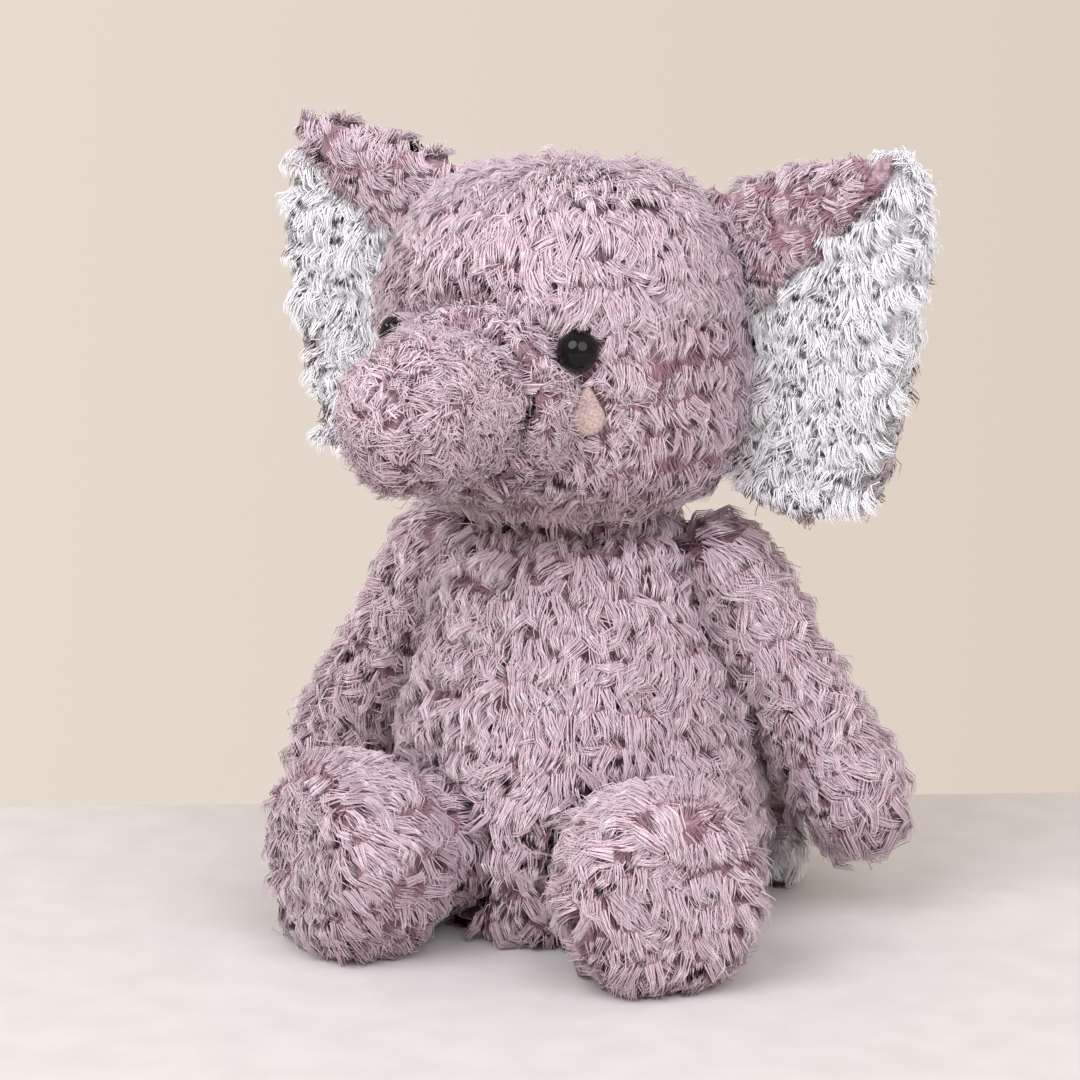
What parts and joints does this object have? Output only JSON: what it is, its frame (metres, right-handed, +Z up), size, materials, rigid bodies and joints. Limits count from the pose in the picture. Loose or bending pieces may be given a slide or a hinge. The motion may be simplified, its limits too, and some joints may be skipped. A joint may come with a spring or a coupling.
{
  "type": "stuffed elephant",
  "caption": "Seated plush elephant with a turned head, short upturned trunk, folded white-lined ears, jointed arms, legs, tail, neck and trunk seams.",
  "frame": {"origin": "centre of the flat seat, on the surface that the elephant sits on", "axes": "+Z up; the body and feet face -Y; the elephant's left side is +X"},
  "size_m": [0.2097, 0.1692, 0.235],
  "materials": {
    "mauve_plush": "long tufted pile, pale tips over a dark root",
    "short_plush": "short curly pile",
    "white_plush": "long tufted white pile",
    "tusk_felt": "matt brushed felt",
    "black_eye": "polished",
    "washer_plastic": "moulded",
    "fibre_fill": "loose polyester fibre",
    "pouch_cloth": "plain woven",
    "thread": "twisted thread"
  },
  "bodies": {
    "torso": {"seat_panel": "mauve_plush", "body_front_left": "mauve_plush", "body_front_right": "mauve_plush", "body_back_left": "mauve_plush", "body_back_right": "mauve_plush", "body_stuffing": "fibre_fill", "pellet_pouch": "pouch_cloth", "closing_stitches": "thread"},
    "neck": {"neck_stuffing": "fibre_fill"},
    "head": {"head_left": "mauve_plush", "head_right": "mauve_plush", "head_gusset": "mauve_plush", "chin_panel": "mauve_plush", "muzzle": "short_plush", "head_stuffing": "fibre_fill", "eye_left": "black_eye", "eye_right": "black_eye", "eye_left_washer": "washer_plastic", "eye_right_washer": "washer_plastic", "tusk_left": "tusk_felt", "tusk_right": "tusk_felt"},
    "trunk": {"trunk_left": "short_plush", "trunk_right": "short_plush", "trunk_gusset": "short_plush", "trunk_stuffing": "fibre_fill"},
    "ear_left": {"ear_left_back": "mauve_plush", "ear_left_lining": "white_plush", "ear_left_wadding": "fibre_fill"},
    "ear_right": {"ear_right_back": "mauve_plush", "ear_right_lining": "white_plush", "ear_right_wadding": "fibre_fill"},
    "arm_left": {"arm_left_outer": "mauve_plush", "arm_left_inner": "mauve_plush", "arm_left_stuffing": "fibre_fill"},
    "arm_right": {"arm_right_outer": "mauve_plush", "arm_right_inner": "mauve_plush", "arm_right_stuffing": "fibre_fill"},
    "leg_left": {"leg_left_top": "mauve_plush", "leg_left_under": "mauve_plush", "foot_left_sole": "mauve_plush", "leg_left_stuffing": "fibre_fill"},
    "leg_right": {"leg_right_top": "mauve_plush", "leg_right_under": "mauve_plush", "foot_right_sole": "mauve_plush", "leg_right_stuffing": "fibre_fill"},
    "tail": {"tail_cover": "mauve_plush", "tail_tuft": "white_plush"}
  },
  "joints": [
    {"name": "head_turn", "type": "hinge", "parent": "torso", "child": "neck", "pos_m": [0, -0.004, 0.126], "axis": [0, 0, 1], "range_deg": [-20, 46], "stiffness_Nm_per_rad": 0.5},
    {"name": "head_nod", "type": "hinge", "parent": "neck", "child": "head", "pos_m": [0, -0.004, 0.126], "axis": [0.9744, -0.225, 0], "range_deg": [-12, 12], "stiffness_Nm_per_rad": 1},
    {"name": "trunk_lift", "type": "hinge", "parent": "head", "child": "trunk", "pos_m": [-0.01485, -0.06831, 0.165], "axis": [-0.9205, 0.3907, 0], "range_deg": [-10, 15], "stiffness_Nm_per_rad": 0.2},
    {"name": "ear_left_flap", "type": "hinge", "parent": "head", "child": "ear_left", "pos_m": [0.05472, 0.00184, 0.18], "axis": [0, 0, -1], "range_deg": [-15, 25], "stiffness_Nm_per_rad": 0.05},
    {"name": "ear_right_flap", "type": "hinge", "parent": "head", "child": "ear_right", "pos_m": [-0.04662, 0.02524, 0.18], "axis": [0, 0, 1], "range_deg": [-15, 25], "stiffness_Nm_per_rad": 0.05},
    {"name": "arm_left_swing", "type": "hinge", "parent": "torso", "child": "arm_left", "pos_m": [0.043, 0.002, 0.1085], "axis": [-1, 0, 0], "range_deg": [-25, 30], "stiffness_Nm_per_rad": 0.1},
    {"name": "arm_right_swing", "type": "hinge", "parent": "torso", "child": "arm_right", "pos_m": [-0.043, 0.002, 0.1085], "axis": [-1, 0, 0], "range_deg": [-25, 30], "stiffness_Nm_per_rad": 0.1},
    {"name": "leg_left_lift", "type": "hinge", "parent": "torso", "child": "leg_left", "pos_m": [0.02778, -0.04277, 0.028], "axis": [-0.8387, -0.5446, 0], "range_deg": [-20, 20], "stiffness_Nm_per_rad": 0.3},
    {"name": "leg_right_lift", "type": "hinge", "parent": "torso", "child": "leg_right", "pos_m": [-0.0321, -0.03963, 0.028], "axis": [-0.7771, 0.6293, 0], "range_deg": [-20, 20], "stiffness_Nm_per_rad": 0.3},
    {"name": "tail_swing", "type": "hinge", "parent": "torso", "child": "tail", "pos_m": [0, 0.0586, 0.038], "axis": [0, 0, 1], "range_deg": [0, 110]}
  ]
}
